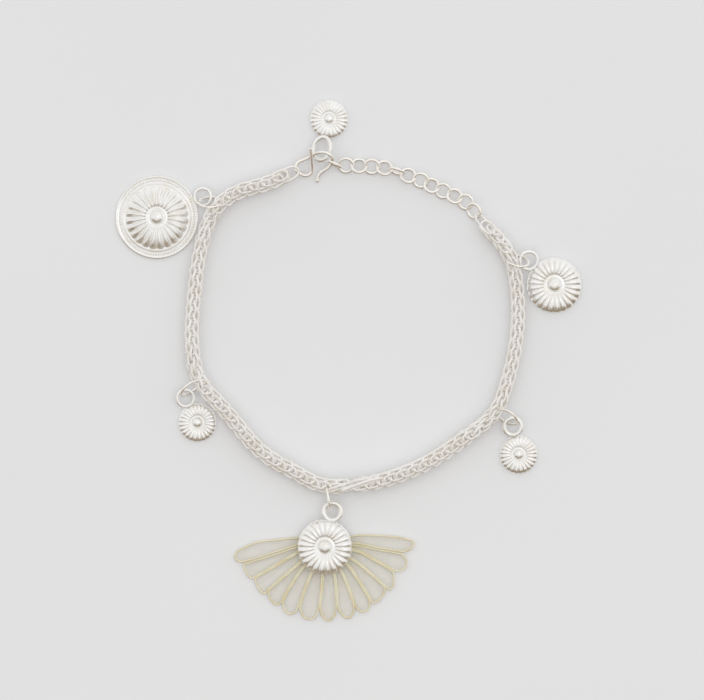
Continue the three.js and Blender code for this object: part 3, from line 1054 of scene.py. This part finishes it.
class BRACELET_OT_stage(Operator):
    """Lay the table, hang the soft light and set up the camera"""
    bl_idname = "bracelet.stage"
    bl_label = "Stage"

    def execute(self, context):
        settings = context.scene.bracelet_stage
        table = new_piece(bpy.ops.mesh.primitive_plane_add, size=4, location=(0, 0, -0.00002))
        bpy.ops.object.transform_apply(location=True)
        table.name = "table"
        table.data.materials.append(table_material(settings.table_colour))
        table.visible_glossy = False
        self.soft_light()
        self.surroundings(context.scene)
        self.camera(context.scene, settings)
        return {"FINISHED"}

    def soft_light(self):
        deselect_all()
        bpy.ops.object.light_add(type="AREA", location=LIGHT_PLACE)
        light = bpy.context.object
        light.name = "soft_key"
        light.data.size = 0.35
        light.data.energy = LIGHT_POWER
        light.rotation_euler = (-light.location).to_track_quat("-Z", "Y").to_euler()

    def surroundings(self, scene):
        """A bright room with a dark warm side low down towards the front."""
        world = bpy.data.worlds.new("room")
        scene.world = world
        world.use_nodes = True
        tree = world.node_tree
        coords = add_node(tree, "ShaderNodeTexCoord")

        def facing(direction):
            dot = add_node(tree, "ShaderNodeVectorMath", operation="DOT_PRODUCT")
            dot.inputs[1].default_value = Vector(direction).normalized()
            tree.links.new(coords.outputs["Generated"], dot.inputs[0])
            return dot.outputs["Value"]

        room = ramp_between(tree, facing((0.6, 0.3, 0.7)), grey(0.98), grey(1.03), 0.0, 0.9)
        front = ramp_between(tree, facing((0, -1, 0)), grey(0), grey(1), 0.25, 0.5)
        low = ramp_between(tree, facing((0, 0, 1)), grey(1), grey(0), 0.45, 0.75)
        both = add_node(tree, "ShaderNodeMath", operation="MULTIPLY")
        tree.links.new(front, both.inputs[0])
        tree.links.new(low, both.inputs[1])
        mix = add_node(tree, "ShaderNodeMix", data_type="RGBA")
        tree.links.new(both.outputs["Value"], mix.inputs["Factor"])
        tree.links.new(room, mix.inputs["A"])
        mix.inputs["B"].default_value = DARK_SIDE
        tree.links.new(mix.outputs["Result"], tree.nodes["Background"].inputs["Color"])

    def camera(self, scene, settings):
        deselect_all()
        lo, hi = CAD_BOX
        x, y = ((lo + hi) / 2).xy + Vector(VIEW_SHIFT)
        bpy.ops.object.camera_add(location=(x, y, settings.camera_height))
        camera = bpy.context.object
        camera.name = "camera_above"
        camera.rotation_euler = (0, 0, 0)
        camera.data.sensor_width = 36
        camera.data.lens = camera.data.sensor_width * settings.camera_height / settings.view_width
        camera.data.clip_end = 10
        scene.camera = camera
        scene.view_settings.view_transform = "Standard"


# ---------------------------------------------------------------------------
# Add-on
# ---------------------------------------------------------------------------

OPERATORS = (
    BRACELET_OT_stage,
    BRACELET_OT_chain,
    BRACELET_OT_rings,
    BRACELET_OT_hook,
    BRACELET_OT_daisies,
    BRACELET_OT_medallion,
    BRACELET_OT_fan,
)
SETTINGS = {
    "bracelet_chain": ChainSettings,
    "bracelet_charms": CharmSettings,
    "bracelet_fan": FanSettings,
    "bracelet_stage": StageSettings,
}


class BRACELET_PT_panel(Panel):
    """Lists the bracelet's sizes and the operators that model it"""
    bl_idname = "BRACELET_PT_panel"
    bl_label = "Charm Bracelet"
    bl_space_type = "VIEW_3D"
    bl_region_type = "UI"
    bl_category = "Bracelet"

    def draw(self, context):
        layout = self.layout
        for operator in OPERATORS:
            layout.operator(operator.bl_idname)
        for name, group in SETTINGS.items():
            box = layout.box()
            for key in group.__annotations__:
                box.prop(getattr(context.scene, name), key)


CLASSES = (*SETTINGS.values(), *OPERATORS, BRACELET_PT_panel)


def register():
    for item in CLASSES:
        bpy.utils.register_class(item)
    for name, group in SETTINGS.items():
        setattr(bpy.types.Scene, name, PointerProperty(type=group))


def unregister():
    for name in SETTINGS:
        delattr(bpy.types.Scene, name)
    for item in reversed(CLASSES):
        bpy.utils.unregister_class(item)


def main():
    register()
    for operator in OPERATORS:
        category, name = operator.bl_idname.split(".")
        getattr(getattr(bpy.ops, category), name)()


if __name__ == "__main__":
    main()
